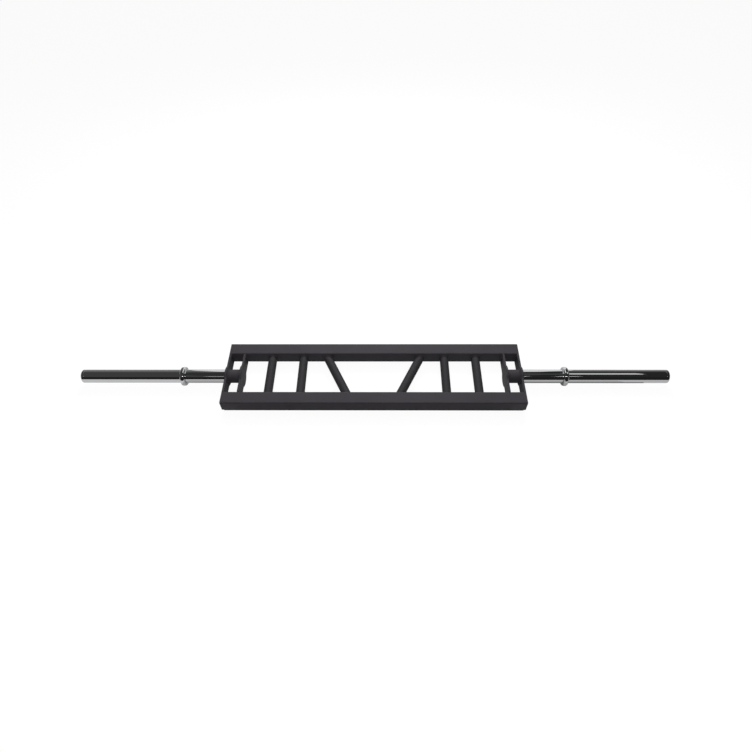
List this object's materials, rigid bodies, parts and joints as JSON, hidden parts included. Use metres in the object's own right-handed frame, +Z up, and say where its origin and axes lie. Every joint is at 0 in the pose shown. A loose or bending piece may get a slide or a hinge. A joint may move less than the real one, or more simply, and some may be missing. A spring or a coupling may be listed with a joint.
{
  "type": "swiss bar",
  "caption": "Multi-grip weight bar: flat welded frame of square rails joined by straight and angled round grips, with a chromed plate sleeve at each end.",
  "frame": {"origin": "middle of the bar, on the common axis of the two sleeves", "axes": "+X along the bar to the right sleeve, +Y to the rear rail (the side that the angled grips spread towards), +Z up"},
  "size_m": [2.15, 0.272, 0.08],
  "materials": {
    "powder_coat": "matte black powder coat, very fine orange peel",
    "chrome": "polished chrome plate"
  },
  "bodies": {
    "root": {"rail_front": "powder_coat", "rail_rear": "powder_coat", "end_plate_left": "powder_coat", "end_plate_right": "powder_coat", "inner_plate_left": "powder_coat", "inner_plate_right": "powder_coat", "grip_outer_left": "powder_coat", "grip_outer_right": "powder_coat", "grip_inner_left": "powder_coat", "grip_inner_right": "powder_coat", "grip_angled_left": "powder_coat", "grip_angled_right": "powder_coat", "sleeve_left": "chrome", "sleeve_right": "chrome", "collar_left": "chrome", "collar_right": "chrome", "sleeve_cap_left": "chrome", "sleeve_cap_right": "chrome", "weld_grip_outer_left_front": "powder_coat", "weld_grip_outer_left_rear": "powder_coat", "weld_grip_outer_right_front": "powder_coat", "weld_grip_outer_right_rear": "powder_coat", "weld_grip_inner_left_front": "powder_coat", "weld_grip_inner_left_rear": "powder_coat", "weld_grip_inner_right_front": "powder_coat", "weld_grip_inner_right_rear": "powder_coat", "weld_grip_angled_left_front": "powder_coat", "weld_grip_angled_left_rear": "powder_coat", "weld_grip_angled_right_front": "powder_coat", "weld_grip_angled_right_rear": "powder_coat", "weld_sleeve_left_outer": "powder_coat", "weld_sleeve_left_middle": "powder_coat", "weld_sleeve_left_inner": "powder_coat", "weld_sleeve_right_outer": "powder_coat", "weld_sleeve_right_middle": "powder_coat", "weld_sleeve_right_inner": "powder_coat", "weld_end_plate_left_front": "powder_coat", "weld_end_plate_left_rear": "powder_coat", "weld_end_plate_right_front": "powder_coat", "weld_end_plate_right_rear": "powder_coat", "weld_inner_plate_left_front_outboard": "powder_coat", "weld_inner_plate_left_front_inboard": "powder_coat", "weld_inner_plate_left_rear_outboard": "powder_coat", "weld_inner_plate_left_rear_inboard": "powder_coat", "weld_inner_plate_right_front_outboard": "powder_coat", "weld_inner_plate_right_front_inboard": "powder_coat", "weld_inner_plate_right_rear_outboard": "powder_coat", "weld_inner_plate_right_rear_inboard": "powder_coat"}
  },
  "joints": []
}
